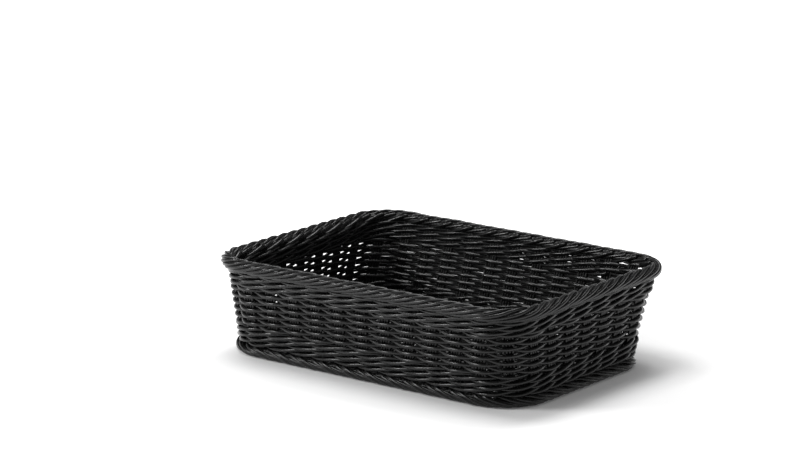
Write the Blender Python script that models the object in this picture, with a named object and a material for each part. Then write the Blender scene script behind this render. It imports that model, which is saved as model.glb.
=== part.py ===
"""A rectangular storage basket, woven from round black plastic strands.

Metres, Z up, X along the long sides. The origin is on the floor, under the middle of the rim.
Forty flat stakes of four strands stand round the base. Two weavers climb round them in turn,
between a band of waling above and one below. A rolled border over a steel hoop ends the wall
at the top, a second border is the foot, and a woven mat with seven ribs is the base.
"""

import math

import bmesh
import bpy
from mathutils import Vector

# Overall sizes, over the outside of each border
RIM_LENGTH = 0.400
RIM_WIDTH = 0.310
BASKET_HEIGHT = 0.110
FOOT_LENGTH = 0.391
FOOT_WIDTH = 0.261
RIM_CORNER_RADIUS = 0.049
FOOT_CORNER_RADIUS = 0.055
# Hand weaving leaves the rim a little off the middle of the foot, towards +X and +Y
LEAN_ALONG = 0.004
LEAN_ACROSS = 0.003

# Strands and the play between woven pieces
STRAND_DIAMETER = 0.0032
CLEARANCE = 0.0003
STRANDS_IN_STAKE = 4
STAKE_MARGIN = 0.0010

# Stakes are spaced evenly from the middle of one corner to the middle of the next
STEPS_ON_LONG_SIDE = 12
STEPS_ON_SHORT_SIDE = 8

# Rolled border at the rim
RIM_ROLL_DIAMETER = 0.0154
RIM_PROUD = 0.0075
HOOP_DIAMETER = 0.0040

# Plait inside the rim: its heads stand over the border, with a dip between each two
PLAIT_EDGE = 0.0022
PLAIT_STEP = 0.0012
PLAIT_DIP = 0.0014
PLAIT_HALF_PITCH = 0.0146

# Foot border, with the ledge that carries the base
FOOT_BORDER_HEIGHT = 0.0130
FOOT_PROUD = 0.0030
FOOT_BULGE_HEIGHT = 0.0055
FOOT_TREAD_INSET = 0.0030
FOOT_LOWER_INSET = 0.0010
FOOT_TREAD_ROUND = 0.0020
FOOT_WALL_HALF = 0.0040
LEDGE_DEPTH = 0.0040
LEDGE_HEIGHT = 0.0031

# Woven mat: thick over each rib and one strand thick halfway to the next
MAT_CREST_HALF = 0.0045
MAT_TROUGH_HALF = 0.0030
MAT_WEB = 0.0042
MAT_OVERRUN = 0.0010

# Bands of the wall
WALE_ROUNDS = 3
BOTTOM_WALE_PITCH = 0.0067
TOP_WALE_PITCH = 0.0053
WEAVER_LAPS = 6
STEP_UP_STAKES = 3
STEP_UP_FROM = 20
OVER_AND_UNDER = 3

# Facets
CORNER_STEPS = 6
STAKE_STEPS = 3
HOOP_SIDES = 6
ROLL_SKIN_DEGREES = (-58, -29, 0, 30, 60, 90, 120)
PLAIT_FROM_DEGREES = 150
PLAIT_TO_DEGREES = 270
QUARTER_TURN = math.pi / 2
EIGHTH_TURN = math.pi / 4

# Sizes that follow
STAKE_COUNT = 2 * (STEPS_ON_LONG_SIDE + STEPS_ON_SHORT_SIDE)
STAKE_WIDTH = STRANDS_IN_STAKE * STRAND_DIAMETER
WALL_HALF = 1.5 * STRAND_DIAMETER + CLEARANCE
WEAVER_OFFSET = STRAND_DIAMETER + CLEARANCE
ROLL_RADIUS = RIM_ROLL_DIAMETER / 2
RIM_UNDERSIDE = BASKET_HEIGHT - RIM_ROLL_DIAMETER
WALL_BOTTOM = FOOT_BORDER_HEIGHT + CLEARANCE
WALL_TOP = RIM_UNDERSIDE - CLEARANCE
WEAVERS_FROM = WALL_BOTTOM + WALE_ROUNDS * BOTTOM_WALE_PITCH
WEAVERS_TO = WALL_TOP - WALE_ROUNDS * TOP_WALE_PITCH
ROW_PITCH = (WEAVERS_TO - WEAVERS_FROM) / (2 * WEAVER_LAPS)
MAT_THICKNESS = FOOT_BORDER_HEIGHT - LEDGE_HEIGHT - CLEARANCE
MAT_BOTTOM = LEDGE_HEIGHT + CLEARANCE

# Outlines: half length, half width, corner radius, middle
WALL_AT_FOOT = (
    FOOT_LENGTH / 2 - FOOT_PROUD - WALL_HALF,
    FOOT_WIDTH / 2 - FOOT_PROUD - WALL_HALF,
    FOOT_CORNER_RADIUS - FOOT_PROUD - WALL_HALF,
    Vector((-LEAN_ALONG, -LEAN_ACROSS, 0)),
)
WALL_AT_RIM = (
    RIM_LENGTH / 2 - RIM_PROUD - WALL_HALF,
    RIM_WIDTH / 2 - RIM_PROUD - WALL_HALF,
    RIM_CORNER_RADIUS - RIM_PROUD - WALL_HALF,
    Vector((0, 0, 0)),
)
ROLL_LINE = (
    RIM_LENGTH / 2 - ROLL_RADIUS,
    RIM_WIDTH / 2 - ROLL_RADIUS,
    RIM_CORNER_RADIUS - ROLL_RADIUS,
    Vector((0, 0, 0)),
)


def start_empty():
    for old in list(bpy.data.objects):
        bpy.data.objects.remove(old, do_unlink=True)


def finish(name, colour, roughness, metallic):
    """A plain surface of one colour."""
    made = bpy.data.materials.new(name)
    made.use_nodes = True
    shader = made.node_tree.nodes["Principled BSDF"]
    shader.inputs["Base Color"].default_value = (*colour, 1)
    shader.inputs["Roughness"].default_value = roughness
    shader.inputs["Metallic"].default_value = metallic
    made.diffuse_color = (*colour, 1)
    return made


def heading(angle):
    return Vector((math.cos(angle), math.sin(angle), 0))


def outline_frame(steps, outline):
    """The point and outward direction on a rounded rectangle, `steps` stakes on from the front left
    corner, anticlockwise from above. The stakes of a side divide the way from corner to corner alike."""
    half_length, half_width, radius, middle = outline
    steps %= STAKE_COUNT
    side = 0
    side_steps = STEPS_ON_LONG_SIDE
    while steps > side_steps:
        steps -= side_steps
        side += 1
        side_steps = STEPS_ON_SHORT_SIDE if side % 2 else STEPS_ON_LONG_SIDE
    half_along, half_out = (half_width, half_length) if side % 2 else (half_length, half_width)
    outward = heading(side * QUARTER_TURN - QUARTER_TURN)
    along = heading(side * QUARTER_TURN)
    bend = radius * EIGHTH_TURN
    straight = 2 * (half_along - radius)
    travelled = (2 * bend + straight) * steps / side_steps
    if travelled < bend:
        turn = travelled / radius - EIGHTH_TURN
        hub = -half_along + radius
    elif travelled <= bend + straight:
        turn = 0
        hub = -half_along + radius + travelled - bend
    else:
        turn = (travelled - bend - straight) / radius
        hub = half_along - radius
    normal = outward * math.cos(turn) + along * math.sin(turn)
    point = middle + along * hub + outward * (half_out - radius) + normal * radius
    return point, normal


def stake_frame(index, height):
    """A stake's middle at a height, the way out of the basket there, and the way along the wall."""
    share = (height - WALL_BOTTOM) / (WALL_TOP - WALL_BOTTOM)
    low, low_out = outline_frame(index, WALL_AT_FOOT)
    high, high_out = outline_frame(index, WALL_AT_RIM)
    out = low_out.lerp(high_out, share).normalized()
    point = low.lerp(high, share)
    return Vector((point.x, point.y, height)), out, Vector((-out.y, out.x, 0))


def ring_frames(outline):
    """Points and outward directions round a rounded rectangle, with facets only in its corners."""
    half_length, half_width, radius, middle = outline
    frames = []
    for corner in range(4):
        for step in range(CORNER_STEPS + 1):
            out = heading((corner + step / CORNER_STEPS) * QUARTER_TURN)
            hub = Vector((
                (half_length - radius) * (1 if corner in (0, 3) else -1),
                (half_width - radius) * (1 if corner in (0, 1) else -1),
                0,
            ))
            frames.append((middle + hub + out * radius, out))
    return frames


def add_solid(name, loops, closed, material):
    """One body skinned over loops of points. An open one gets a face at each end."""
    shape = bmesh.new()
    rings = [[shape.verts.new(point) for point in loop] for loop in loops]
    pairs = zip(rings, rings[1:] + rings[:1]) if closed else zip(rings, rings[1:])
    for ring, following in pairs:
        for k in range(len(ring)):
            after = (k + 1) % len(ring)
            shape.faces.new((ring[k], ring[after], following[after], following[k]))
    if not closed:
        shape.faces.new(rings[0])
        shape.faces.new(rings[-1])
    bmesh.ops.triangulate(shape, faces=shape.faces)
    bmesh.ops.recalc_face_normals(shape, faces=shape.faces)
    mesh = bpy.data.meshes.new(name)
    shape.to_mesh(mesh)
    shape.free()
    mesh.materials.append(material)
    made = bpy.data.objects.new(name, mesh)
    bpy.context.scene.collection.objects.link(made)
    return made


def add_strand(name, path_at, section, closed, material):
    """A strand along the wall. Each corner of its section, an (out, up) pair, has the path of its own
    height, so that a tall section leans with the stakes."""
    edges = []
    for e, up in section:
        path = path_at(up)
        last = len(path) - 1
        edge = []
        for k, point in enumerate(path):
            before = path[k - 1] if closed or k else path[0]
            after = path[(k + 1) % len(path)] if closed or k < last else path[last]
            way = Vector((after.x - before.x, after.y - before.y, 0)).normalized()
            edge.append(point + Vector((way.y, -way.x, 0)) * e)
        edges.append(edge)
    return add_solid(name, list(zip(*edges)), closed, material)


def add_ring(name, outline, section, material):
    """A border: its section, as (out, height) pairs, carried round a rounded rectangle."""
    loops = [
        [point + out * e + Vector((0, 0, z)) for e, z in section]
        for point, out in ring_frames(outline)
    ]
    return add_solid(name, loops, True, material)


def add_stakes(material):
    """Each stake is a flat band of four strands side by side, from the foot border to the rim."""
    for index in range(STAKE_COUNT):
        loops = []
        for step in range(STAKE_STEPS + 1):
            height = WALL_BOTTOM + (WALL_TOP - WALL_BOTTOM) * step / STAKE_STEPS
            point, out, along = stake_frame(index, height)
            loops.append([
                point + along * e * STAKE_WIDTH / 2 + out * n * STRAND_DIAMETER / 2
                for e, n in ((-1, -1), (1, -1), (1, 1), (-1, 1))
            ])
        add_solid(f"stake_{index + 1:02d}", loops, False, material)


def pass_stake(index, height, outside):
    """The two points of a weaver where it starts and ends its way past a stake."""
    point, out, along = stake_frame(index, height)
    middle = point + out * (WEAVER_OFFSET if outside else -WEAVER_OFFSET)
    reach = STAKE_WIDTH / 2 + STAKE_MARGIN
    return [middle - along * reach, middle + along * reach]


def row_rise(passed):
    """Rows climbed after a number of stakes: each lap is level, and its last stakes lead up two rows."""
    lap, place = divmod(passed, STAKE_COUNT)
    climb = max(0, place - (STAKE_COUNT - STEP_UP_STAKES)) / STEP_UP_STAKES
    return 2 * (lap + climb)


def weaver_path(first_row, up):
    """The last lap ends where the lap below it starts to climb."""
    path = []
    for passed in range(WEAVER_LAPS * STAKE_COUNT - STEP_UP_STAKES + 1):
        index = (passed + STEP_UP_FROM) % STAKE_COUNT
        rows = first_row + row_rise(passed)
        height = WEAVERS_FROM + (rows + 0.5) * ROW_PITCH + up
        path += pass_stake(index, height, outside=(index + first_row) % 2 == 0)
    return path


def add_weavers(material):
    """Two weavers follow each other up the wall. One is outside the even stakes, the other the odd."""
    radius = STRAND_DIAMETER / 2
    section = ((radius, 0), (0, radius), (-radius, 0), (0, -radius))
    for first_row, name in enumerate(("weaver_lower", "weaver_upper")):
        add_strand(name, lambda up, row=first_row: weaver_path(row, up), section, False, material)


def wale_path(height, shift):
    """Outside two stakes and inside the next, all the way round."""
    last_inside = STAKE_COUNT - STAKE_COUNT % OVER_AND_UNDER
    path = []
    for index in range(STAKE_COUNT):
        inside = index % OVER_AND_UNDER == shift and index < last_inside
        path += pass_stake(index, height, not inside)
    return path


def add_wale(name, middle_height, pitch, shift, material):
    """One round of waling, two strands tall."""
    half = STRAND_DIAMETER / 2
    tall = (pitch - CLEARANCE) / 2
    section = ((half, -tall), (half, tall), (-half, tall), (-half, -tall))
    add_strand(name, lambda up: wale_path(middle_height + up, shift), section, True, material)


def add_wales(material):
    for turn in range(WALE_ROUNDS):
        shift = turn % OVER_AND_UNDER
        low = WALL_BOTTOM + (turn + 0.5) * BOTTOM_WALE_PITCH
        add_wale(f"bottom_wale_{turn + 1}", low, BOTTOM_WALE_PITCH, shift, material)
        high = WEAVERS_TO + (turn + 0.5) * TOP_WALE_PITCH
        add_wale(f"top_wale_{turn + 1}", high, TOP_WALE_PITCH, shift, material)


def turned(degrees, reach, aside=0.0):
    """A point of the roll's section, as an (out, up) pair: at an angle from straight out of the basket,
    at a distance from the roll's middle, and beside that line on the side of larger angles."""
    angle = math.radians(degrees)
    return (
        reach * math.cos(angle) - aside * math.sin(angle), reach * math.sin(angle) + aside * math.cos(angle),
    )


def groove(degrees):
    """Points of the groove round the hoop, clear of the hoop's flats."""
    radius = (HOOP_DIAMETER / 2 + CLEARANCE) / math.cos(math.pi / HOOP_SIDES)
    return [turned(a, radius) for a in degrees]


def plait_section(dip):
    """The inner lower part of the roll, its skin drawn in by a dip."""
    gap = CLEARANCE / 2
    seat = HOOP_DIAMETER / 2 + CLEARANCE
    skin = ROLL_RADIUS - dip
    return [
        turned(PLAIT_TO_DEGREES, skin, -gap),
        (-skin + PLAIT_EDGE, -skin),
        (-skin, -skin + PLAIT_EDGE),
        (-skin, 0),
        turned(PLAIT_FROM_DEGREES, skin, gap),
        turned(PLAIT_FROM_DEGREES, seat, gap),
        *groove((180, 240)),
        turned(PLAIT_TO_DEGREES, seat, -gap),
    ]


def plait_frames():
    """The ring's frames, with each straight stretch divided into an even number of half pitches."""
    frames = ring_frames(ROLL_LINE)
    divided = []
    for (point, out), (ahead, ahead_out) in zip(frames, frames[1:] + frames[:1]):
        parts = 1
        if out.angle(ahead_out) < EIGHTH_TURN / CORNER_STEPS:
            parts = max(2, 2 * round((ahead - point).length / PLAIT_HALF_PITCH / 2))
        divided += [(point.lerp(ahead, k / parts), out) for k in range(parts)]
    return divided


def add_plait(level, material):
    """The plait rises to a head and falls to a dip in turn, all the way round."""
    sections = (plait_section(0), plait_section(PLAIT_DIP))
    loops = [
        [point + out * e + Vector((0, 0, level + z)) for e, z in sections[k % 2]]
        for k, (point, out) in enumerate(plait_frames())
    ]
    add_solid("rim_plait", loops, True, material)


def add_rim(plastic, steel):
    """The rolled border over the hoop, and the plait that closes it on the inside."""
    level = BASKET_HEIGHT - ROLL_RADIUS
    gap = CLEARANCE / 2
    seat = HOOP_DIAMETER / 2 + CLEARANCE
    roll = [
        turned(PLAIT_TO_DEGREES, ROLL_RADIUS, gap),
        *[turned(a, ROLL_RADIUS) for a in ROLL_SKIN_DEGREES],
        turned(PLAIT_FROM_DEGREES, ROLL_RADIUS - PLAIT_STEP, -gap),
        turned(PLAIT_FROM_DEGREES, seat, -gap),
        *groove((120, 60, 0, -60)),
        turned(PLAIT_TO_DEGREES, seat, gap),
    ]
    hoop = [turned(360 * k / HOOP_SIDES, HOOP_DIAMETER / 2) for k in range(HOOP_SIDES)]
    for name, section, material in (("rim_border", roll, plastic), ("rim_hoop", hoop, steel)):
        add_ring(name, ROLL_LINE, [(e, level + z) for e, z in section], material)
    add_plait(level, plastic)


def add_foot(material):
    """The foot border. It is flat underneath, and its ledge carries the base."""
    outside = WALL_HALF + FOOT_PROUD
    inside = -FOOT_WALL_HALF
    section = [
        (inside - LEDGE_DEPTH, 0),
        (outside - FOOT_TREAD_INSET, 0),
        (outside - FOOT_LOWER_INSET, FOOT_TREAD_ROUND),
        (outside, FOOT_BULGE_HEIGHT),
        (WALL_HALF, FOOT_BORDER_HEIGHT),
        (inside, FOOT_BORDER_HEIGHT),
        (inside, LEDGE_HEIGHT),
        (inside - LEDGE_DEPTH, LEDGE_HEIGHT),
    ]
    add_ring("foot_border", WALL_AT_FOOT, section, material)


def add_box(name, middle, size, material):
    loops = [
        [
            middle + Vector((x * size.x / 2, y * size.y / 2, z * size.z / 2))
            for x, y in ((-1, -1), (1, -1), (1, 1), (-1, 1))
        ]
        for z in (-1, 1)
    ]
    return add_solid(name, loops, False, material)


def shape_with(piece, tool, operation):
    """A Boolean that cuts the piece with a tool, which itself stays out of the model."""
    tool.hide_render = True
    tool.display_type = "WIRE"
    cut = piece.modifiers.new(tool.name, "BOOLEAN")
    cut.operation = operation
    cut.object = tool


def add_waves(ribs, level, material):
    """A sheet that is thick at each rib and thin between, as the cross strands pass over and under."""
    pitch = (ribs[-1] - ribs[0]) / (len(ribs) - 1)
    crest = MAT_THICKNESS / 2 + MAT_OVERRUN
    profile = [(ribs[0] - 2 * pitch, crest)]
    for rib in (ribs[0] - pitch, *ribs):
        profile += [
            (rib + MAT_CREST_HALF, crest),
            (rib + pitch / 2 - MAT_TROUGH_HALF, MAT_WEB / 2),
            (rib + pitch / 2 + MAT_TROUGH_HALF, MAT_WEB / 2),
            (rib + pitch - MAT_CREST_HALF, crest),
        ]
    profile.append((ribs[-1] + 2 * pitch, crest))
    section = profile + [(y, -z) for y, z in reversed(profile)]
    loops = [[Vector((x, y, level + z)) for y, z in section] for x in (-FOOT_LENGTH, FOOT_LENGTH)]
    return add_solid("mat_waves", loops, False, material)


def add_base(material):
    """The woven mat, thick at each rib, with a tunnel for the rib, and the ribs that run its length."""
    half_length, half_width, radius, middle = WALL_AT_FOOT
    inset = FOOT_WALL_HALF + CLEARANCE
    edge = [point - out * inset for point, out in ring_frames(WALL_AT_FOOT)]
    loops = [
        [Vector((p.x, p.y, height)) for p in edge] for height in (MAT_BOTTOM, MAT_BOTTOM + MAT_THICKNESS)
    ]
    mat = add_solid("base_mat", loops, False, material)
    level = MAT_BOTTOM + MAT_THICKNESS / 2
    turn_radius = radius - inset
    first = STEPS_ON_LONG_SIDE + 1
    ribs = [stake_frame(first + number, WALL_BOTTOM)[0].y for number in range(STEPS_ON_SHORT_SIDE - 1)]
    shape_with(mat, add_waves(ribs, level, material), "INTERSECT")
    for number, across in enumerate(ribs):
        far_edge = abs(across - middle.y) + STAKE_WIDTH / 2
        into_corner = max(0, far_edge - (half_width - radius))
        reach = half_length - radius + math.sqrt(max(0, turn_radius**2 - into_corner**2))
        place = Vector((middle.x, across, level))
        rib = Vector((2 * (reach - CLEARANCE), STAKE_WIDTH, STRAND_DIAMETER))
        add_box(f"base_rib_{number + 1}", place, rib, material)
        spare = 2 * CLEARANCE
        tunnel = Vector((FOOT_LENGTH, rib.y + spare, rib.z + spare))
        shape_with(mat, add_box(f"tunnel_{number + 1}", place, tunnel, material), "DIFFERENCE")


def main():
    start_empty()
    plastic = finish("black plastic strand", (0.018, 0.018, 0.019), 0.38, 0)
    steel = finish("hoop wire", (0.45, 0.45, 0.46), 0.35, 1)
    add_stakes(plastic)
    add_weavers(plastic)
    add_wales(plastic)
    add_rim(plastic, steel)
    add_foot(plastic)
    add_base(plastic)


main()
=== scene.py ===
"""A rectangular storage basket, woven from round black plastic strands, for Blender.

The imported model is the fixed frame. Each strand of the weave is a round tube carried along its own
path, and the paths are worked out as whole arrays from one description of the wall: a place is given by
how many stakes it lies on from the front left corner, anticlockwise from above, and by its height.
"""

import math

import bpy
import numpy as np
from mathutils import Matrix, Vector


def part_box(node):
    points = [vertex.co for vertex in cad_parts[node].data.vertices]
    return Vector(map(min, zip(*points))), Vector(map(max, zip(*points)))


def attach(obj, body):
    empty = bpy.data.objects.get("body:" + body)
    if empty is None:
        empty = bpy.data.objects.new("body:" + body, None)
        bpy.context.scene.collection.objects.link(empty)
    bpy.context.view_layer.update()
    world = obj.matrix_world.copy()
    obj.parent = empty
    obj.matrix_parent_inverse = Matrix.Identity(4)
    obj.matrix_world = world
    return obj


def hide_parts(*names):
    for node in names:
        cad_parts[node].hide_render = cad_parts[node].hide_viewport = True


bl_info = {
    "name": "Woven storage basket",
    "version": (1, 0, 0),
    "blender": (4, 5, 0),
    "location": "View3D > Sidebar > Basket",
    "description": "Makes a rectangular basket woven from round plastic strands",
    "category": "Add Mesh",
}

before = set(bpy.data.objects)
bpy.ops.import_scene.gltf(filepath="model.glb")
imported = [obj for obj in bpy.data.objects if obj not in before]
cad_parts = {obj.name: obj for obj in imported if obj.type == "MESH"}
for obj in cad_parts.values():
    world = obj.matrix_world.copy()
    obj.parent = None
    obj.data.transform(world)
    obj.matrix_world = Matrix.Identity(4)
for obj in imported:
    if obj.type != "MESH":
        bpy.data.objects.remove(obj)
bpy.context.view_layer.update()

# Stakes, counted anticlockwise from the front left corner
STAKES = 40
SIDE_STEPS = np.array([12, 8, 12, 8])
SIDE_STARTS = np.array([0, 12, 20, 32])

# Outlines of the wall at the foot and the rim, and of the middle of the rolled rim:
# half length, half width, corner radius, middle
WALL_AT_FOOT = (0.1874, 0.1224, 0.0469, -0.004, -0.003)
WALL_AT_RIM = (0.1874, 0.1424, 0.0364, 0.0, 0.0)
ROLL_LINE = (0.1923, 0.1473, 0.0413, 0.0, 0.0)
WALL_BOTTOM = 0.0133
WALL_TOP = 0.0943
ROLL_LEVEL = 0.1023
ROLL_RADIUS = 0.0077

# Bands of the wall
BOTTOM_WALE_FROM = 0.0128
BOTTOM_WALE_PITCH = 0.0065
TOP_WALE_FROM = 0.0792
TOP_WALE_PITCH = 0.0064
WALE_ROUNDS = 3
WEAVERS_FROM = 0.0322
ROW_PITCH = 0.00392
WEAVER_LAPS = 6
STEP_UP_FROM = 20
STEP_UP_STAKES = 3

# Strands of the stakes and of the waling
STAKE_STRANDS = 4
MIDDLE_STRAND = 1.5
STAKE_FROM, STAKE_TO = 0.0035, 0.1030
WALE_RODS = 3
WALE_MEAN_OUT = 0.2
WALE_FURTHEST_AT, WALE_HIGHEST_AT = 0.5, 1.25
WEAVER_SWELL = 0.05

# Rim border. Angles round a roll are in degrees, 0 outwards and 90 at the top. Depths are in metres.
RIM_FROM, RIM_TO = -112, 178
RIM_STEEPENS_FROM, RIM_STEEPENS_OVER = 5, 65
RIM_PARTS_FROM, RIM_PARTS_OVER, RIM_LEAST_PARTING = 8, 50, 0.35
RIM_START_DEPTH, RIM_START_OVER = 0.0030, 34
RIM_END_DEPTH, RIM_END_FROM, RIM_END_OVER = 0.0034, 114, 40
RIM_MATE_DEPTH = 0.0023

# Plait inside the rim
PLAIT_FROM, PLAIT_TURN = 146, 104
PLAIT_MATE_LATER, PLAIT_MATE_SHORTER = 12, 14
PLAIT_ODD_SOONER = 10
PLAIT_MATE_SPREAD = 1.1
PLAIT_LIFT, PLAIT_PROUD = 0.0001, 0.0014
PLAIT_ODD_DEPTH, PLAIT_MATE_DEPTH, PLAIT_TAIL_DEPTH = 0.0010, 0.0016, 0.0016

# Foot border
FOOT_FROM, FOOT_TO = 118, -128
FOOT_REACH, FOOT_OUT = 0.0047, 0.0020
FOOT_START = -0.15
FOOT_TOP_SLOPE, FOOT_TOP_FROM, FOOT_TOP_OVER = 18, 20, 60
FOOT_UNDER_SLOPE, FOOT_UNDER_FROM, FOOT_UNDER_OVER = 20, -75, 40
FOOT_TUCK, FOOT_TUCK_FROM, FOOT_TUCK_OVER = 0.0012, -35, 70
FOOT_DEPTHS = np.array([0, 0.0012, 0.0004, 0.0017])
FOOT_DEPTHS_END, FOOT_DEPTHS_OVER = -90, 90

# Cores of the two rolls, and the distance between stakes along them
CORE_RADIUS = 0.00125
RIM_CORE_REACH = 0.0030
FOOT_CORE_REACH, FOOT_CORE_OUT = 0.0021, 0.0010
STAKE_PITCH = 0.0292

# Base
RIBS = 7
RIB_WIDTH = 0.0128
RIB_END_GAP = 0.002
MAT_INSET, MAT_END_GAP = 0.0036, 0.004
MAT_DEPTH = 0.0031
CORNER_SHARE = 0.995

# Waver of hand-woven strands, in metres, and in stakes where it runs along a roll
WAVER_RATES = (0.11, 0.23, 0.41, 0.73, 1.13)
WAVER_SUM = 2.2
STAKE_WAVER_ASIDE, STAKE_WAVER_OUT = 0.00012, 0.00016
WEAVER_WAVER_UP, WEAVER_WAVER_OUT = 0.00015, 0.0001
WALE_WAVER_UP, WALE_WAVER_OUT = 0.0003, 0.0002
RIM_WAVER_ALONG, RIM_WAVER_OUT = 0.03, 0.0003
FOOT_WAVER_ALONG = 0.012
BASE_WAVER = 0.0001

# How many circles a tube gets
STAKE_PLACES = 22
PLACES_PER_STAKE = 14
ROLL_PLACES = 44
PLAIT_PLACES = 26
CORE_PLACES_PER_STAKE = 6
RIB_PLACES = 100
MAT_PLACES = 110

# Cross section of a strand, and the two smaller circles at each of its ends
SIDES = 8
RING_TURN = np.arange(SIDES) * 2 * np.pi / SIDES
TIP_REACH = np.array([0.5, 0.85])
TIP_WIDTH = np.array([0.87, 0.53])


def ease(t):
    """Goes from 0 to 1 as t does, level at both ends: 3 t squared less 2 t cubed."""
    t = np.clip(t, 0, 1)
    return t * t * (3 - 2 * t)


def unit(vectors):
    return vectors / np.linalg.norm(vectors, axis=-1, keepdims=True)


def by_hand(places, amount, seed):
    """A smooth waver along a strand: the sum of five sine waves of unlike length and start. Each caller
    stretches its places to its own wavelength, and shifts them so that neighbours waver apart."""
    rng = np.random.default_rng(seed)
    total = np.zeros_like(places, dtype=float)
    for rate in WAVER_RATES:
        total = total + np.sin(2 * np.pi * (rate * places + rng.random()))
    return amount * total / WAVER_SUM


def on_outline(steps, outline):
    """Points and outward directions on a rounded rectangle, a number of stakes on from the front left
    corner. A side runs from the middle of one corner to the middle of the next, and its stakes divide
    that way alike: an eighth of a circle, the straight, and an eighth of a circle."""
    half_length, half_width, radius, middle_x, middle_y = outline
    steps = np.mod(steps, STAKES)
    side = np.searchsorted(SIDE_STARTS, steps, side="right") - 1
    share = (steps - SIDE_STARTS[side]) / SIDE_STEPS[side]
    half_along = np.where(side % 2, half_width, half_length)
    half_out = np.where(side % 2, half_length, half_width)
    heading = side * np.pi / 2
    along = np.stack([np.cos(heading), np.sin(heading), 0 * heading], -1)
    outward = np.stack([np.sin(heading), -np.cos(heading), 0 * heading], -1)
    bend = radius * np.pi / 4
    straight = 2 * (half_along - radius)
    travelled = (2 * bend + straight) * share
    turn = np.minimum(travelled - bend, 0) / radius + np.maximum(travelled - bend - straight, 0) / radius
    hub = np.clip(travelled - bend, 0, straight) - half_along + radius
    normal = outward * np.cos(turn)[..., None] + along * np.sin(turn)[..., None]
    point = along * hub[..., None] + outward * (half_out - radius)[..., None] + normal * radius
    point = point + np.array([middle_x, middle_y, 0.0])
    return point, normal


def on_wall(steps, height, out=0.0, aside=0.0):
    """Points of the wall and its outward directions. The outline at a height lies between those of the
    foot and the rim. `out` moves the point square to the wall, which leans: its direction is the level
    one less the lean's slope times up. `aside` moves it along the wall."""
    steps, height, out, aside = np.broadcast_arrays(steps, height, out, aside)
    low, low_out = on_outline(steps, WALL_AT_FOOT)
    high, high_out = on_outline(steps, WALL_AT_RIM)
    share = ((height - WALL_BOTTOM) / (WALL_TOP - WALL_BOTTOM))[..., None]
    normal = unit(low_out + (high_out - low_out) * share)
    along = np.stack([-normal[..., 1], normal[..., 0], 0 * height], -1)
    lean = np.sum((high - low) * normal, -1, keepdims=True) / (WALL_TOP - WALL_BOTTOM)
    square = unit(normal - lean * np.array([0.0, 0.0, 1.0]))
    point = low + (high - low) * share + along * aside[..., None]
    point[..., 2] = height
    return point + square * out[..., None], square


def on_roll(steps, angle, reach, outline, level, out=0.0):
    """Points round a roll that runs round the basket, and the directions from its middle. The angle is
    0 outwards and a quarter turn at the top, and `reach` is the distance from the middle."""
    steps, angle, reach, out = np.broadcast_arrays(steps, angle, reach, out)
    middle, normal = on_outline(steps, outline)
    up = np.array([0.0, 0.0, 1.0])
    ray = normal * np.cos(angle)[..., None] + up * np.sin(angle)[..., None]
    point = middle + normal * out[..., None] + up * level + ray * reach[..., None]
    return point, ray


def tubes(paths, across, radius, tone, closed=False):
    """Round tubes along paths of (strand, place, xyz). At each place a circle stands across the path:
    its points are the middle plus radius times (cosine times one direction plus sine times the other),
    where the first direction is `across` made square to the path. An open tube gets two narrower circles
    and a point at each end, so that it ends round."""
    if closed:
        way = unit(np.roll(paths, -1, axis=1) - np.roll(paths, 1, axis=1))
    else:
        way = unit(np.gradient(paths, axis=1))
    radius = np.broadcast_to(radius, paths.shape[:2])
    if not closed:
        first, last = slice(0, 1), slice(-1, None)
        head = paths[:, first] - way[:, first] * radius[:, first, None] * TIP_REACH[::-1, None]
        tail = paths[:, last] + way[:, last] * radius[:, last, None] * TIP_REACH[:, None]
        tips = np.stack([
            paths[:, 0] - way[:, 0] * radius[:, 0, None],
            paths[:, -1] + way[:, -1] * radius[:, -1, None],
        ], 1)
        paths = np.concatenate([head, paths, tail], 1)
        radius = np.concatenate([
            radius[:, first] * TIP_WIDTH[::-1], radius, radius[:, last] * TIP_WIDTH,
        ], 1)
        way, across = (
            np.concatenate([a[:, first].repeat(2, 1), a, a[:, last].repeat(2, 1)], 1)
            for a in (way, across)
        )
    else:
        tips = np.zeros((len(paths), 0, 3))
    second = unit(np.cross(way, across))
    first_way = np.cross(second, way)
    circle = (
        first_way[:, :, None] * np.cos(RING_TURN)[:, None]
        + second[:, :, None] * np.sin(RING_TURN)[:, None]
    )
    points = paths[:, :, None] + circle * radius[:, :, None, None]
    hops = np.linalg.norm(np.diff(paths, axis=1), axis=-1)
    travelled = np.concatenate([np.zeros((len(paths), 1)), np.cumsum(hops, 1)], 1)
    return points, tips, travelled, np.broadcast_to(tone, len(paths)), closed


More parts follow.
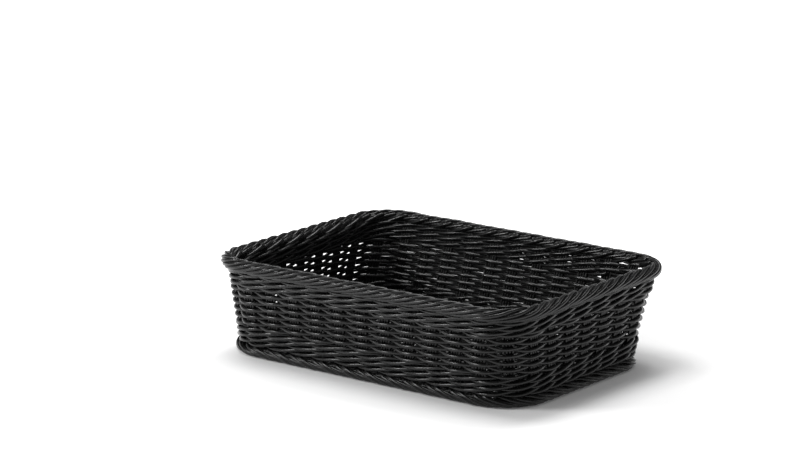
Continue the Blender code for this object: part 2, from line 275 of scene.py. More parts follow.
def skin(points, tips, travelled, tone, closed, first):
    """The faces of one set of tubes, four corners between each two circles and three at a tip, with how
    far along and how far round the strand each corner lies."""
    strands, rings, sides = points.shape[:3]
    number = np.arange(strands * rings * sides).reshape(strands, rings, sides) + first
    beside = np.roll(number, -1, axis=2)
    reach = np.broadcast_to(travelled[:, :, None], number.shape)
    turn = np.broadcast_to(np.arange(sides) / sides, number.shape)
    if closed:
        ahead, ahead_beside = np.roll(number, -1, axis=1), np.roll(beside, -1, axis=1)
        following = np.concatenate([reach[:, 1:], reach[:, -1:] + reach[:, 1:2]], 1)
        quads = np.stack([number, beside, ahead_beside, ahead], -1)
        far = np.stack([reach, reach, following, following], -1)
        round_it = np.stack([turn, turn + 1 / sides, turn + 1 / sides, turn], -1)
        triangles = np.zeros((0, 3), int)
        tip_uv = np.zeros((0, 2))
    else:
        quads = np.stack([number[:, :-1], beside[:, :-1], beside[:, 1:], number[:, 1:]], -1)
        far = np.stack([reach[:, :-1], reach[:, :-1], reach[:, 1:], reach[:, 1:]], -1)
        bent = turn[:, :-1]
        round_it = np.stack([bent, bent + 1 / sides, bent + 1 / sides, bent], -1)
        tip = first + number.size + np.arange(strands * 2).reshape(strands, 2)
        start = np.broadcast_to(tip[:, :1], (strands, sides))
        end = np.broadcast_to(tip[:, 1:], (strands, sides))
        triangles = np.concatenate([
            np.stack([beside[:, 0], number[:, 0], start], -1),
            np.stack([number[:, -1], beside[:, -1], end], -1),
        ]).reshape(-1, 3)
        ends = np.concatenate([reach[:, 0], reach[:, -1]])
        tip_uv = np.stack([ends, np.concatenate([turn[:, 0], turn[:, -1]])], -1)
        tip_uv = tip_uv.reshape(-1, 1, 2).repeat(3, 1).reshape(-1, 2)
    uv = np.concatenate([np.stack([far, round_it], -1).reshape(-1, 2), tip_uv])
    corners = np.concatenate([points.reshape(-1, 3), tips.reshape(-1, 3)])
    tones = np.concatenate([tone.repeat(rings * sides), tone.repeat(tips.shape[1])])
    return corners, quads.reshape(-1, 4), triangles, uv, tones


def add_piece(name, sets, material, nodes):
    """One piece made of sets of tubes. It rides on the basket's body and stands for the CAD nodes."""
    corners, squares, threes, square_uv, three_uv, tones = [], [], [], [], [], []
    first = 0
    for one in sets:
        points, quads, triangles, uv, tone = skin(*one, first)
        first += len(points)
        corners.append(points)
        squares.append(quads)
        threes.append(triangles)
        square_uv.append(uv[: quads.size])
        three_uv.append(uv[quads.size:])
        tones.append(tone)
    corners, squares, threes = (np.concatenate(a) for a in (corners, squares, threes))
    mesh = bpy.data.meshes.new(name)
    mesh.vertices.add(len(corners))
    mesh.vertices.foreach_set("co", corners.astype(np.float32).ravel())
    loops = np.concatenate([squares.ravel(), threes.ravel()]).astype(np.int32)
    mesh.loops.add(len(loops))
    mesh.loops.foreach_set("vertex_index", loops)
    starts = np.concatenate([
        np.arange(len(squares)) * 4, squares.size + np.arange(len(threes)) * 3,
    ]).astype(np.int32)
    mesh.polygons.add(len(starts))
    mesh.polygons.foreach_set("loop_start", starts)
    mesh.polygons.foreach_set("use_smooth", np.ones(len(starts), bool))
    layer = mesh.uv_layers.new(name="strand")
    layer.data.foreach_set("uv", np.concatenate(square_uv + three_uv).astype(np.float32).ravel())
    shade = mesh.attributes.new("tone", "FLOAT", "POINT")
    shade.data.foreach_set("value", np.concatenate(tones).astype(np.float32))
    mesh.update(calc_edges=True)
    mesh.validate()
    mesh.materials.append(material)
    piece = bpy.data.objects.new(name, mesh)
    bpy.context.scene.collection.objects.link(piece)
    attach(piece, "root")
    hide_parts(*nodes)


def tones_for(count, seed):
    """A number between -1 and 1 for each strand, for its own shade of black."""
    return np.random.default_rng(seed).uniform(-1, 1, count)


# Paths of the strands


def stake_tubes(index, sizes):
    """Four strands side by side, from inside the foot border up into the rim: each runs straight up the
    wall, its distance aside being its number less one and a half, times the strand's width."""
    height = np.linspace(STAKE_FROM, STAKE_TO, STAKE_PLACES)[None, :].repeat(STAKE_STRANDS, 0)
    strand = np.arange(STAKE_STRANDS)[:, None]
    wide = sizes.stake_diameter
    aside = (strand - MIDDLE_STRAND) * wide
    aside = aside + by_hand(height * 60 + strand * 7.3, STAKE_WAVER_ASIDE, seed=index)
    out = by_hand(height * 50 + strand * 3.1, STAKE_WAVER_OUT, seed=100 + index)
    path, normal = on_wall(float(index), height, out, aside)
    return [tubes(path, normal, wide * 0.5, tones_for(STAKE_STRANDS, seed=700 + index))]


def level_of(passed, rows):
    """Rows climbed: a lap is level, and the first stakes of the next lap lead up to it."""
    lap, place = np.divmod(passed, STAKES)
    return np.where(lap < 1, 0, rows * (lap - 1 + ease(place / STEP_UP_STAKES)))


def weaver_tubes(first_row, sizes):
    """One weaver, over one stake and under the next: its distance from the wall's middle is the weave's
    depth times a cosine of one wave in two stakes, squared off by a hyperbolic tangent. Its height is a
    row's, plus a sine of one wave for each stake, so that it rises where it crosses a stake. It is a
    twentieth thicker on the stakes, which press it flat."""
    length = WEAVER_LAPS * STAKES
    passed = np.linspace(0, length, length * PLACES_PER_STAKE + 1)[None]
    steps = passed + STEP_UP_FROM
    wave = np.tanh(sizes.weave_squareness * np.cos(np.pi * (steps - first_row)))
    out = sizes.weave_depth * wave / math.tanh(sizes.weave_squareness)
    rows = first_row + level_of(passed, 2) + 0.5
    height = WEAVERS_FROM + rows * ROW_PITCH + by_hand(passed, WEAVER_WAVER_UP, seed=11 + first_row)
    height = height + sizes.stroke_rise * np.sin(2 * np.pi * steps)
    out = out + by_hand(passed * 1.7, WEAVER_WAVER_OUT, seed=21 + first_row)
    path, normal = on_wall(steps, height, out)
    radius = sizes.weaver_diameter / 2 * (1 + WEAVER_SWELL * np.cos(np.pi * steps) ** 2)
    return [tubes(path, normal, radius, tones_for(1, seed=40 + first_row))]


def wale_tubes(turn, bottom, pitch, sizes, seed):
    """One round of waling: three rods, each outside two stakes and inside the third. A rod's place q in
    its pattern goes from 0 to 3. Its distance from the wall's middle is the depth times the sum of a
    fifth and a cosine of one wave in three stakes, which bows it out between its two stakes, at q 0.5.
    Its height has such a cosine too, highest at q 1.25, so that a stroke rises as it passes outside. A
    rod starts and ends inside a stake. In the last round, the end that would be furthest on comes three
    stakes sooner."""
    rod = np.arange(WALE_RODS)[:, None]
    ahead = (2 - (STEP_UP_FROM + STAKES * turn + rod)) % WALE_RODS
    ahead_next = (2 - (STEP_UP_FROM + STAKES * (turn + 1) + rod)) % WALE_RODS
    start = STEP_UP_FROM + STAKES * turn + ahead
    end = STEP_UP_FROM + STAKES * (turn + 1) + ahead_next
    if turn == WALE_ROUNDS - 1:
        end = end - WALE_RODS * (ahead_next == 2)
    share = np.linspace(0, 1, STAKES * PLACES_PER_STAKE + 1)[None]
    steps = start + (end - start) * share
    q = np.mod(steps + rod, WALE_RODS)
    swing = WALE_MEAN_OUT + np.cos(2 * np.pi * (q - WALE_FURTHEST_AT) / WALE_RODS)
    rounds = level_of(steps - STEP_UP_FROM, 1)
    height = bottom + (rounds + 0.5) * pitch
    rise = sizes.wale_rise * pitch / BOTTOM_WALE_PITCH
    height = height + rise * np.cos(2 * np.pi * (q - WALE_HIGHEST_AT) / WALE_RODS)
    height = height + by_hand(steps + rod * 5.7, WALE_WAVER_UP, seed)
    waver = by_hand(steps * 1.3 + rod * 2.9, WALE_WAVER_OUT, seed + 2)
    path, normal = on_wall(steps, height, sizes.wale_depth * swing + waver)
    return [tubes(path, normal, sizes.wale_diameter / 2, tones_for(WALE_RODS, seed + 1))]


def climb(angles, slopes, reach):
    """How far along a roll a strand gets while it turns through the angles, in stakes: the sum of the
    way round that it makes in each step, divided by the tangent of its slope there."""
    step = np.abs(np.diff(angles)) * reach
    slope = (slopes[1:] + slopes[:-1]) / 2
    return np.concatenate([[0], np.cumsum(step / np.tan(slope))]) / STAKE_PITCH


def core_tubes(first_turn, reach, outline, level, out, seed):
    """Six thin strands that run on inside a roll, spaced evenly round its middle."""
    place = np.linspace(0, STAKES, STAKES * CORE_PLACES_PER_STAKE, endpoint=False)[None]
    turns = np.radians(first_turn + 60 * np.arange(6))[:, None]
    path, ray = on_roll(place, turns, reach, outline, level, out)
    return tubes(path, ray, CORE_RADIUS, tones_for(6, seed), closed=True)


def rim_tubes(sizes):
    """The rolled border: 160 strands in pairs climb over the roll, from under its outside to its inside.
    Their slope grows from flat to steep over the top, and their distance from the roll's middle falls
    off at both ends. The second strand of a pair lies deeper than the first."""
    strand = np.arange(STAKE_STRANDS * STAKES)
    pair, mate = strand // 2, (strand % 2)[:, None]
    radius = sizes.border_diameter / 2
    degrees = np.linspace(RIM_FROM, RIM_TO, ROLL_PLACES)
    angle = np.radians(degrees)
    steeper = ease((degrees - RIM_STEEPENS_FROM) / RIM_STEEPENS_OVER)
    slope = np.radians(sizes.rim_slope + sizes.rim_steepening * steeper)
    passed = climb(angle, slope, ROLL_RADIUS - radius)[None]
    start = (pair * 0.5)[:, None] + by_hand(pair, RIM_WAVER_ALONG, seed=5)[:, None]
    parted = ease((degrees - RIM_PARTS_FROM) / RIM_PARTS_OVER)[None]
    parted = RIM_LEAST_PARTING + (1 - RIM_LEAST_PARTING) * parted
    steps = start + passed + (mate - 0.5) * sizes.rim_spread * parted
    reach = ROLL_RADIUS - radius
    reach = reach - RIM_START_DEPTH * (1 - ease((degrees - RIM_FROM) / RIM_START_OVER))
    reach = reach - RIM_END_DEPTH * ease((degrees - RIM_END_FROM) / RIM_END_OVER)
    reach = reach - mate * RIM_MATE_DEPTH + by_hand(strand, RIM_WAVER_OUT, seed=7)[:, None]
    path, ray = on_roll(steps, angle, reach, ROLL_LINE, ROLL_LEVEL)
    border = tubes(path, ray, radius, tones_for(len(strand), seed=55))
    core = core_tubes(20, RIM_CORE_REACH, ROLL_LINE, ROLL_LEVEL, 0.0, seed=56)
    return [border, core]


def plait_tubes(sizes):
    """The plait inside the rim: each strand starts on the inner side of the roll, near its top, and runs
    down round it. The first strand of every second pair starts with its round end proud and stays on
    top. The pairs between them lie deeper, and the second strand of a pair deeper still."""
    strand = np.arange(STAKE_STRANDS * STAKES)
    pair, mate = strand // 2, (strand % 2)[:, None]
    odd = pair[:, None] % 2
    radius = sizes.plait_diameter / 2
    share = np.linspace(0, 1, PLAIT_PLACES)[None]
    degrees = share * (PLAIT_TURN - PLAIT_MATE_SHORTER * mate) + PLAIT_FROM
    degrees = degrees + PLAIT_MATE_LATER * mate - PLAIT_ODD_SOONER * odd
    start = (pair * 0.5)[:, None] + mate * sizes.rim_spread * PLAIT_MATE_SPREAD
    start = start + by_hand(pair, RIM_WAVER_ALONG, seed=6)[:, None]
    steps = start + sizes.plait_sweep * share
    proud = PLAIT_PROUD * (1 - odd) * (1 - mate) * ease(share * 3 + 0.4)
    sunk = PLAIT_ODD_DEPTH * odd + PLAIT_MATE_DEPTH * mate
    tail = PLAIT_TAIL_DEPTH * ease((share - 0.75) / 0.25)
    reach = ROLL_RADIUS - radius + PLAIT_LIFT + proud - sunk - tail
    path, ray = on_roll(steps, np.radians(degrees), reach, ROLL_LINE, ROLL_LEVEL)
    return [tubes(path, ray, radius, tones_for(len(strand), seed=57))]


def foot_tubes(sizes):
    """The foot border: four strands for each stake fan out from under the waling, steep at first,
    flatten as they turn down over the outside, and run on under the foot. They start at four depths,
    which are alike again at the bottom."""
    strand = np.arange(STAKE_STRANDS * STAKES)
    stake, mate = strand // STAKE_STRANDS, strand % STAKE_STRANDS
    degrees = np.linspace(FOOT_FROM, FOOT_TO, ROLL_PLACES)
    angle = np.radians(degrees)
    slope = sizes.foot_slope + FOOT_TOP_SLOPE * ease((degrees - FOOT_TOP_FROM) / FOOT_TOP_OVER)
    slope = slope + FOOT_UNDER_SLOPE * ease((FOOT_UNDER_FROM - degrees) / FOOT_UNDER_OVER)
    passed = climb(angle, np.radians(slope), FOOT_REACH)[None]
    fan = (mate - MIDDLE_STRAND) / STAKE_STRANDS * sizes.foot_spread
    start = (stake + FOOT_START + fan + by_hand(strand, FOOT_WAVER_ALONG, seed=8))[:, None]
    reach = FOOT_REACH - FOOT_TUCK * ease((FOOT_TUCK_FROM - degrees) / FOOT_TUCK_OVER)[None]
    deeper = ease((degrees - FOOT_DEPTHS_END) / FOOT_DEPTHS_OVER)[None]
    reach = reach - FOOT_DEPTHS[mate][:, None] * deeper
    path, ray = on_roll(start + passed, angle, reach, WALL_AT_FOOT, sizes.foot_level, FOOT_OUT)
    border = tubes(path, ray, sizes.foot_diameter / 2, tones_for(len(strand), seed=58))
    core = core_tubes(30, FOOT_CORE_REACH, WALL_AT_FOOT, sizes.foot_level, FOOT_CORE_OUT, seed=59)
    return [border, core]


def mat_level():
    """Height of the middle of the base mat."""
    low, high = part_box("base_mat")
    return (low.z + high.z) / 2


def rib_tubes(number, sizes):
    """Four strands side by side along the base, waving a little up and down past the cross strands."""
    low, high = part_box(f"base_rib_{number}")
    middle = (low.y + high.y) / 2
    along = np.linspace(low.x + RIB_END_GAP, high.x - RIB_END_GAP, RIB_PLACES)
    along = along[None].repeat(STAKE_STRANDS, 0)
    strand = np.arange(STAKE_STRANDS)[:, None]
    wide = sizes.stake_diameter
    y = middle + (strand - MIDDLE_STRAND) * wide
    y = y + by_hand(along * 30 + strand * 3, BASE_WAVER, seed=60 + number)
    z = mat_level() + by_hand(along * 40 + strand, BASE_WAVER, seed=80 + number)
    path = np.stack([along, y, z], -1)
    across = np.broadcast_to(np.array([0.0, 0.0, 1.0]), path.shape)
    return [tubes(path, across, wide / 2, tones_for(STAKE_STRANDS, seed=90 + number))]


def mat_tubes(sizes):
    """The cross strands of the base: each goes over one rib and under the next, as a cosine of one wave
    in two ribs, squared off, and its neighbour does the opposite. The ends follow the rounded corners."""
    half_length, half_width, radius, middle_x, middle_y = WALL_AT_FOOT
    reach_x = half_length - MAT_INSET - MAT_END_GAP
    count = 2 * round(reach_x / sizes.weaver_diameter)
    x = np.linspace(-reach_x, reach_x, count)[:, None]
    bend = radius - MAT_INSET
    into = np.clip((np.abs(x) - (half_length - radius)) / bend, 0, CORNER_SHARE)
    reach_y = half_width - radius + bend * np.sqrt(1 - into**2)
    y = reach_y * np.linspace(-1, 1, MAT_PLACES)[None]
    low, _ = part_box("base_rib_1")
    _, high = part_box("base_rib_7")
    pitch = (high.y - low.y - RIB_WIDTH) / (RIBS - 1)
    ribs = (y + middle_y - (low.y + RIB_WIDTH / 2)) / pitch
    sign = np.where(np.arange(count) % 2, 1, -1)[:, None]
    wave = np.tanh(sizes.weave_squareness * np.cos(np.pi * ribs)) / math.tanh(sizes.weave_squareness)
    z = mat_level() + sign * MAT_DEPTH * wave
    path = np.stack([x + middle_x + 0 * y, y + middle_y, z], -1)
    across = np.broadcast_to(np.array([1.0, 0.0, 0.0]), path.shape)
    return [tubes(path, across, sizes.weaver_diameter / 2, tones_for(count, seed=91))]


# Finishes


STREAKS_ALONG_AND_ROUND = (70, 9, 1)
SCUFFS_TO_A_METRE, CLOUDS_TO_A_METRE = 240, 22
TONE_SHARE, STREAK_SHARE, CLOUD_SHARE, SCUFF_SHARE = 0.16, 0.6, 0.4, 0.5
STRAND_SMOOTHER, STRAND_ROUGHER = 0.07, 0.1
BUMP_STRENGTH, BUMP_DISTANCE = 0.35, 0.0002
MARKS_TO_A_METRE, PATCHES_TO_A_METRE = 900, 60
HOOP_SMOOTH, HOOP_ROUGH = 0.28, 0.45


def new_material(name):
    made = bpy.data.materials.new(name)
    made.use_nodes = True
    return made, made.node_tree.nodes, made.node_tree.links, made.node_tree.nodes["Principled BSDF"]


def mapped(nodes, links, source, scale):
    turn = nodes.new("ShaderNodeMapping")
    turn.inputs["Scale"].default_value = scale
    links.new(source, turn.inputs["Vector"])
    return turn.outputs["Vector"]


def noise(nodes, links, vector, scale, detail):
    made = nodes.new("ShaderNodeTexNoise")
    made.inputs["Scale"].default_value = scale
    made.inputs["Detail"].default_value = detail
    links.new(vector, made.inputs["Vector"])
    return made.outputs["Fac"]


def spread(nodes, links, value, low, high, to_low, to_high):
    made = nodes.new("ShaderNodeMapRange")
    made.inputs["From Min"].default_value = low
    made.inputs["From Max"].default_value = high
    made.inputs["To Min"].default_value = to_low
    made.inputs["To Max"].default_value = to_high
    links.new(value, made.inputs["Value"])
    return made.outputs["Result"]


def arithmetic(nodes, links, way, one, other):
    """A sum, product or the like of two values, each of them a number or another node's output."""
    made = nodes.new("ShaderNodeMath")
    made.operation = way
    for socket, value in zip(made.inputs, (one, other)):
        if isinstance(value, (int, float)):
            socket.default_value = value
        else:
            links.new(value, socket)
    return made.outputs[0]


def shades(nodes, links, shader, factor, colour, darker, lighter):
    """Colours the shader from a darker to a lighter shade of one colour."""
    mix = nodes.new("ShaderNodeMix")
    mix.data_type = "RGBA"
    links.new(factor, mix.inputs["Factor"])
    for name, times in (("A", darker), ("B", lighter)):
        mix.inputs[name].default_value = (*[min(1, c * times) for c in colour[:3]], 1)
    links.new(mix.outputs["Result"], shader.inputs["Base Color"])


def plastic_strand(finish):
    """Extruded plastic cane: nearly black, each strand with its own shade, drawn streaks along it, and a
    soft gloss that is duller where the streaks and the scuffs are."""
    made, nodes, links, shader = new_material("black plastic strand")
    shader.inputs["Specular IOR Level"].default_value = finish.strand_gloss
    place = nodes.new("ShaderNodeUVMap")
    place.uv_map = "strand"
    tone = nodes.new("ShaderNodeAttribute")
    tone.attribute_name = "tone"
    where = nodes.new("ShaderNodeTexCoord")
    drawn = mapped(nodes, links, place.outputs["UV"], STREAKS_ALONG_AND_ROUND)
    streaks = noise(nodes, links, drawn, scale=1, detail=3)
    scuffs = noise(nodes, links, where.outputs["Object"], SCUFFS_TO_A_METRE, detail=4)
    clouds = noise(nodes, links, where.outputs["Object"], CLOUDS_TO_A_METRE, detail=2)
    shade = arithmetic(nodes, links, "MULTIPLY", tone.outputs["Fac"], TONE_SHARE)
    for part, share in ((streaks, STREAK_SHARE), (clouds, CLOUD_SHARE)):
        part = arithmetic(nodes, links, "MULTIPLY", part, share)
        shade = arithmetic(nodes, links, "ADD", shade, part)
    factor = spread(nodes, links, shade, low=0.3, high=0.75, to_low=0, to_high=1)
    shades(nodes, links, shader, factor, finish.strand_colour, darker=0.6, lighter=1.5)
    rough = arithmetic(nodes, links, "MULTIPLY", scuffs, SCUFF_SHARE)
    rough = arithmetic(nodes, links, "ADD", rough, streaks)
    least = finish.strand_roughness - STRAND_SMOOTHER
    most = finish.strand_roughness + STRAND_ROUGHER
    links.new(spread(nodes, links, rough, 0.45, 1.05, least, most), shader.inputs["Roughness"])
    bump = nodes.new("ShaderNodeBump")
    bump.inputs["Strength"].default_value = BUMP_STRENGTH
    bump.inputs["Distance"].default_value = BUMP_DISTANCE
    links.new(streaks, bump.inputs["Height"])
    links.new(bump.outputs["Normal"], shader.inputs["Normal"])
    return made


def hoop_steel(finish):
    """Drawn steel wire, lightly brushed, with dull patches."""
    made, nodes, links, shader = new_material("hoop steel wire")
    shader.inputs["Metallic"].default_value = 1
    where = nodes.new("ShaderNodeTexCoord")
    marks = noise(nodes, links, where.outputs["Object"], MARKS_TO_A_METRE, detail=3)
    patches = noise(nodes, links, where.outputs["Object"], PATCHES_TO_A_METRE, detail=3)
    shades(nodes, links, shader, patches, finish.hoop_colour, darker=0.75, lighter=1.2)
    rough = spread(nodes, links, marks, 0.3, 0.7, HOOP_SMOOTH, HOOP_ROUGH)
    links.new(rough, shader.inputs["Roughness"])
    return made


def material_for(name, maker):
    """The material of that name, made by its function the first time."""
    return bpy.data.materials.get(name) or maker(bpy.context.scene.basket_finish)


def plastic():
    return material_for("black plastic strand", plastic_strand)


# Stage


# The camera of the photograph: the point that it circles, its angles, its distance and its slides across
# the view in metres, and its lens in millimetres
AIM = Vector((-0.004, -0.003, 0.0486))
AZIMUTH, ELEVATION, ROLL = math.radians(36.54), math.radians(13.25), 0.0150
DISTANCE, SLIDE_RIGHT, SLIDE_UP, LENS = 3.521, 0.03765, 0.08762, 149.3
SENSOR_WIDTH = 36
CLIP_START, CLIP_END = 0.05, 50

# Softboxes: their places from that point, and the sides of their squares
KEY_PLACE, KEY_SIDE = Vector((-0.55, -0.05, 2.05)), 0.9
FRONT_LEFT, FRONT_NEAR, FRONT_UP, FRONT_SIDE = 1.8, 0.4, 1.0, 0.6
BACK_PLACE, BACK_SIDE = Vector((-0.2, 0.75, 1.8)), 0.6

# Floor, and where its glow starts and is full, in metres from the basket. Then how high the rays go, as
# the sine of their angle, where the white of the world ends and where the darker ceiling starts.
FLOOR_HALF = 6.0
GLOW_FROM, GLOW_FULL = 0.2, 0.9
WHITE_TO, CEILING_FROM = 0.08, 0.2


def area_lamp(name, place, side, power):
    """A square softbox that faces the basket."""
    data = bpy.data.lights.new(name, "AREA")
    data.shape = "SQUARE"
    data.size = side
    data.energy = power
    lamp = bpy.data.objects.new(name, data)
    lamp.location = place
    lamp.rotation_euler = (AIM - place).to_track_quat("-Z", "Y").to_euler()
    bpy.context.scene.collection.objects.link(lamp)


def camera_frame():
    """The camera's right, up and backward directions at the photograph's viewing angle."""
    back = Vector((
        math.sin(AZIMUTH) * math.cos(ELEVATION),
        -math.cos(AZIMUTH) * math.cos(ELEVATION),
        math.sin(ELEVATION),
    ))
    right = (-back).cross(Vector((0, 0, 1))).normalized()
    up = right.cross(-back)
    tilted_right = right * math.cos(ROLL) + up * math.sin(ROLL)
    tilted_up = up * math.cos(ROLL) - right * math.sin(ROLL)
    return tilted_right, tilted_up, back


def add_camera():
    right, up, back = camera_frame()
    data = bpy.data.cameras.new("camera")
    data.lens = LENS
    data.sensor_width = SENSOR_WIDTH
    data.clip_start, data.clip_end = CLIP_START, CLIP_END
    camera = bpy.data.objects.new("camera", data)
    place = AIM + back * DISTANCE - right * SLIDE_RIGHT + up * SLIDE_UP
    camera.matrix_world = Matrix((
        (right.x, up.x, back.x, place.x),
        (right.y, up.y, back.y, place.y),
        (right.z, up.z, back.z, place.z),
        (0, 0, 0, 1),
    ))
    bpy.context.scene.collection.objects.link(camera)
    bpy.context.scene.camera = camera


def seen_directly(nodes, links):
    """1 for rays from the camera and for those that gloss and glass send on, else 0."""
    path = nodes.new("ShaderNodeLightPath")
    seen = path.outputs["Is Camera Ray"]
    for kind in ("Is Glossy Ray", "Is Transmission Ray"):
        seen = arithmetic(nodes, links, "MAXIMUM", seen, path.outputs[kind])
    return seen


def add_floor(finish):
    """A plain white floor, which keeps the shadow. Away from the basket it glows, so that it is seen as
    plain white there."""
    corners = [(x * FLOOR_HALF, y * FLOOR_HALF, 0) for x, y in ((-1, -1), (1, -1), (1, 1), (-1, 1))]
    mesh = bpy.data.meshes.new("floor")
    mesh.from_pydata(corners, [], [(0, 1, 2, 3)])
    made, nodes, links, shader = new_material("white floor")
    shader.inputs["Base Color"].default_value = (*finish.floor_colour[:3], 1)
    shader.inputs["Roughness"].default_value = 0.9
    shader.inputs["Specular IOR Level"].default_value = 0.0
    place = nodes.new("ShaderNodeTexCoord")
    length = nodes.new("ShaderNodeVectorMath")
    length.operation = "LENGTH"
    links.new(place.outputs["Object"], length.inputs[0])
    far = spread(
        nodes, links, length.outputs["Value"], GLOW_FROM, GLOW_FULL, to_low=finish.floor_glow, to_high=1,
    )
    glow = arithmetic(nodes, links, "MULTIPLY", seen_directly(nodes, links), far)
    shader.inputs["Emission Color"].default_value = (1, 1, 1, 1)
    links.new(glow, shader.inputs["Emission Strength"])
    mesh.materials.append(made)
    floor = bpy.data.objects.new("floor", mesh)
    bpy.context.scene.collection.objects.link(floor)


def add_world(finish):
    """The room around: an even level for diffuse light. Where it is seen or mirrored, it is white from
    below up to a little above the horizon, and darker overhead."""
    world = bpy.data.worlds.new("studio")
    world.use_nodes = True
    bpy.context.scene.world = world
    nodes, links = world.node_tree.nodes, world.node_tree.links
    background = nodes["Background"]
    background.inputs["Color"].default_value = (1, 1, 1, 1)
    way = nodes.new("ShaderNodeTexCoord")
    split = nodes.new("ShaderNodeSeparateXYZ")
    links.new(way.outputs["Generated"], split.inputs[0])
    shown = spread(
        nodes, links, split.outputs["Z"], WHITE_TO, CEILING_FROM, to_low=1, to_high=finish.ceiling_level,
    )
    either = nodes.new("ShaderNodeMix")
    links.new(seen_directly(nodes, links), either.inputs["Factor"])
    either.inputs["A"].default_value = finish.surround_level
    links.new(shown, either.inputs["B"])
    links.new(either.outputs["Result"], background.inputs["Strength"])


def add_lamps(finish):
    """Three softboxes: the key overhead, one at the front left of the camera's view, and one overhead
    towards the back."""
    right, _, back = camera_frame()
    front = AIM - right * FRONT_LEFT + back * FRONT_NEAR + Vector((0, 0, FRONT_UP))
    area_lamp("key softbox", AIM + KEY_PLACE, KEY_SIDE, finish.key_power)
    area_lamp("front softbox", front, FRONT_SIDE, finish.front_power)
    area_lamp("back softbox", AIM + BACK_PLACE, BACK_SIDE, finish.back_power)


# The add-on


class BasketSizes(bpy.types.PropertyGroup):
    """Sizes of the strands and of the weave."""

    stake_diameter: bpy.props.FloatProperty(
        name="Stake strand", description="Diameter of a strand of a stake", default=0.0032,
        unit="LENGTH")
    weaver_diameter: bpy.props.FloatProperty(
        name="Weaver", description="Diameter of the weavers", default=0.0042, unit="LENGTH")
    wale_diameter: bpy.props.FloatProperty(
        name="Waling rod", description="Diameter of the waling rods", default=0.0043, unit="LENGTH")
    border_diameter: bpy.props.FloatProperty(
        name="Rim strand", description="Diameter of the strands of the rolled border", default=0.0039,
        unit="LENGTH")
    plait_diameter: bpy.props.FloatProperty(
        name="Plait strand", description="Diameter of the strands of the plait", default=0.0044,
        unit="LENGTH")
    foot_diameter: bpy.props.FloatProperty(
        name="Foot strand", description="Diameter of the strands of the foot border", default=0.0034,
        unit="LENGTH")
    weave_depth: bpy.props.FloatProperty(
        name="Weave depth", description="How far a weaver passes from the middle of the wall",
        default=0.0032, unit="LENGTH")
    weave_squareness: bpy.props.FloatProperty(
        name="Squareness", description="How flat a weaver lies on the stakes", default=0.5, min=0.1,
        max=6)
    stroke_rise: bpy.props.FloatProperty(
        name="Stroke rise", description="Half the height that a weaver climbs as it crosses a stake",
        default=0.0003, unit="LENGTH")
    wale_depth: bpy.props.FloatProperty(
        name="Waling depth", description="How far a waling rod passes from the middle of the wall",
        default=0.0037, unit="LENGTH")
    wale_rise: bpy.props.FloatProperty(
        name="Waling rise", description="Half the height that a waling rod climbs", default=0.0025,
        unit="LENGTH")
    rim_slope: bpy.props.FloatProperty(
        name="Rim slope", description="Slope of the rim's strands on the outside, in degrees",
        default=14.0)
    rim_steepening: bpy.props.FloatProperty(
        name="Rim steepening", description="What the slope gains over the top, in degrees", default=6.5)
    rim_spread: bpy.props.FloatProperty(
        name="Rim spread", description="Distance between the two strands of a pair, in stakes",
        default=0.25)
    plait_sweep: bpy.props.FloatProperty(
        name="Plait sweep", description="Stakes that a strand of the plait passes", default=1.1)
    foot_slope: bpy.props.FloatProperty(
        name="Foot slope", description="Least slope of the foot border's strands, in degrees",
        default=16)
    foot_level: bpy.props.FloatProperty(
        name="Foot level", description="Height of the middle of the foot border's roll", default=0.0064,
        unit="LENGTH")
    foot_spread: bpy.props.FloatProperty(
        name="Foot spread", description="Share of the stake pitch over which its strands fan out",
        default=0.75)


class BasketFinish(bpy.types.PropertyGroup):
    """Colours of the basket and levels of the studio light."""

    strand_colour: bpy.props.FloatVectorProperty(
        name="Strand colour", description="Colour of the plastic strands", subtype="COLOR", size=3,
        default=(0.006, 0.006, 0.0061), min=0, max=1)
    strand_roughness: bpy.props.FloatProperty(
        name="Strand roughness", description="Roughness of the plastic strands", default=0.27,
        subtype="FACTOR", min=0, max=1)
    strand_gloss: bpy.props.FloatProperty(
        name="Strand gloss", description="How much the plastic strands mirror", default=0.38,
        subtype="FACTOR", min=0, max=1)
    hoop_colour: bpy.props.FloatVectorProperty(
        name="Hoop colour", description="Colour of the steel hoop", subtype="COLOR", size=3,
        default=(0.45, 0.45, 0.46), min=0, max=1)
    floor_colour: bpy.props.FloatVectorProperty(
        name="Floor colour", description="Colour of the floor", subtype="COLOR", size=3,
        default=(0.86, 0.86, 0.86), min=0, max=1)
    floor_glow: bpy.props.FloatProperty(
        name="Floor glow", description="Light that the floor adds where it is seen", default=0.06, min=0)
    surround_level: bpy.props.FloatProperty(
        name="Surround", description="Level of the light from all around", default=0.28, min=0)
    ceiling_level: bpy.props.FloatProperty(
        name="Ceiling", description="Level of what gloss shows of the room above", default=0.12, min=0)
    key_power: bpy.props.FloatProperty(
        name="Key light", description="Power of the softbox overhead, in watts", default=25, min=0)
    front_power: bpy.props.FloatProperty(
        name="Front light", description="Power of the softbox at the front left, in watts", default=24,
        min=0)
    back_power: bpy.props.FloatProperty(
        name="Back light", description="Power of the softbox overhead towards the back, in watts",
        default=13, min=0)


class BASKET_OT_stakes(bpy.types.Operator):
    """Make the forty stakes of four strands"""

    bl_idname = "basket.stakes"
    bl_label = "Stakes"

    def execute(self, context):
        for index in range(STAKES):
            name = f"stake_{index + 1:02d}"
            strands = stake_tubes(index, context.scene.basket_sizes)
            add_piece(f"{name}_strands", strands, plastic(), [name])
        return {"FINISHED"}


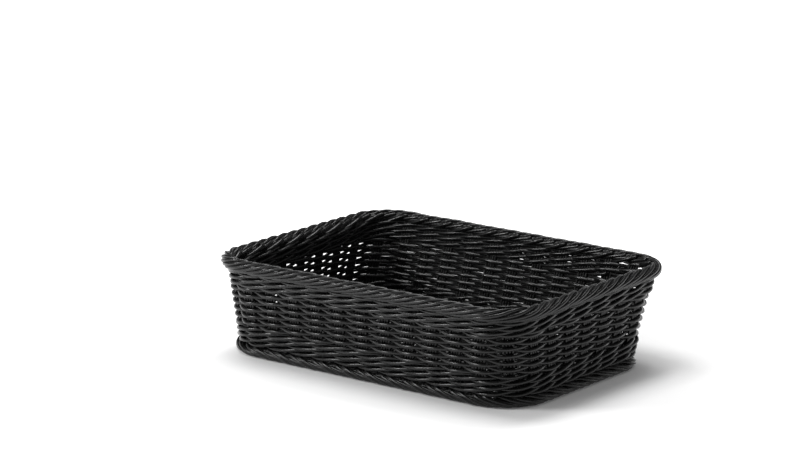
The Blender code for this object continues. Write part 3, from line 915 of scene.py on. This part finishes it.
class BASKET_OT_weavers(bpy.types.Operator):
    """Make the two weavers that chase each other round the wall"""

    bl_idname = "basket.weavers"
    bl_label = "Weavers"

    def execute(self, context):
        for row, name in enumerate(("weaver_lower", "weaver_upper")):
            add_piece(f"{name}_strand", weaver_tubes(row, context.scene.basket_sizes), plastic(), [name])
        return {"FINISHED"}


class BASKET_OT_wales(bpy.types.Operator):
    """Make the waling above the foot and below the rim"""

    bl_idname = "basket.wales"
    bl_label = "Waling"

    def execute(self, context):
        sizes = context.scene.basket_sizes
        for turn in range(WALE_ROUNDS):
            for place, bottom, pitch, seed in (
                ("bottom", BOTTOM_WALE_FROM, BOTTOM_WALE_PITCH, 31),
                ("top", TOP_WALE_FROM, TOP_WALE_PITCH, 35),
            ):
                name = f"{place}_wale_{turn + 1}"
                rods = wale_tubes(turn, bottom, pitch, sizes, seed)
                add_piece(f"{name}_rods", rods, plastic(), [name])
        return {"FINISHED"}


class BASKET_OT_rim(bpy.types.Operator):
    """Make the rolled rim border, the plait inside it and the finish of the hoop"""

    bl_idname = "basket.rim"
    bl_label = "Rim"

    def execute(self, context):
        sizes = context.scene.basket_sizes
        add_piece("rim_border_strands", rim_tubes(sizes), plastic(), ["rim_border"])
        add_piece("rim_plait_strands", plait_tubes(sizes), plastic(), ["rim_plait"])
        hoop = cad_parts["rim_hoop"]
        hoop.data.materials.clear()
        hoop.data.materials.append(material_for("hoop steel wire", hoop_steel))
        return {"FINISHED"}


class BASKET_OT_foot(bpy.types.Operator):
    """Make the foot border"""

    bl_idname = "basket.foot"
    bl_label = "Foot border"

    def execute(self, context):
        sizes = context.scene.basket_sizes
        add_piece("foot_border_strands", foot_tubes(sizes), plastic(), ["foot_border"])
        return {"FINISHED"}


class BASKET_OT_base(bpy.types.Operator):
    """Make the base mat and its ribs"""

    bl_idname = "basket.base"
    bl_label = "Base"

    def execute(self, context):
        sizes = context.scene.basket_sizes
        add_piece("base_mat_strands", mat_tubes(sizes), plastic(), ["base_mat"])
        for number in range(1, RIBS + 1):
            name = f"base_rib_{number}"
            add_piece(f"{name}_strands", rib_tubes(number, sizes), plastic(), [name])
        return {"FINISHED"}


class BASKET_OT_stage(bpy.types.Operator):
    """Make the camera, the floor and the studio light"""

    bl_idname = "basket.stage"
    bl_label = "Stage"

    def execute(self, context):
        finish = context.scene.basket_finish
        add_camera()
        add_floor(finish)
        add_world(finish)
        add_lamps(finish)
        context.scene.view_settings.view_transform = "Standard"
        return {"FINISHED"}


class BASKET_PT_panel(bpy.types.Panel):
    """The basket's sizes and pieces in the sidebar"""

    bl_label = "Basket"
    bl_idname = "BASKET_PT_panel"
    bl_space_type = "VIEW_3D"
    bl_region_type = "UI"
    bl_category = "Basket"

    def draw(self, context):
        for group in (context.scene.basket_sizes, context.scene.basket_finish):
            column = self.layout.column()
            for name in group.bl_rna.properties.keys():
                if name not in ("rna_type", "name"):
                    column.prop(group, name)
        for operator in OPERATORS:
            self.layout.operator(operator.bl_idname)


OPERATORS = (
    BASKET_OT_stage, BASKET_OT_stakes, BASKET_OT_weavers, BASKET_OT_wales, BASKET_OT_rim, BASKET_OT_foot,
    BASKET_OT_base,
)
CLASSES = (BasketSizes, BasketFinish, *OPERATORS, BASKET_PT_panel)


def register():
    for made in CLASSES:
        bpy.utils.register_class(made)
    bpy.types.Scene.basket_sizes = bpy.props.PointerProperty(type=BasketSizes)
    bpy.types.Scene.basket_finish = bpy.props.PointerProperty(type=BasketFinish)


def unregister():
    del bpy.types.Scene.basket_finish
    del bpy.types.Scene.basket_sizes
    for made in reversed(CLASSES):
        bpy.utils.unregister_class(made)


def main():
    register()
    bpy.ops.basket.stage()
    bpy.ops.basket.stakes()
    bpy.ops.basket.weavers()
    bpy.ops.basket.wales()
    bpy.ops.basket.rim()
    bpy.ops.basket.foot()
    bpy.ops.basket.base()


if __name__ == "__main__":
    main()
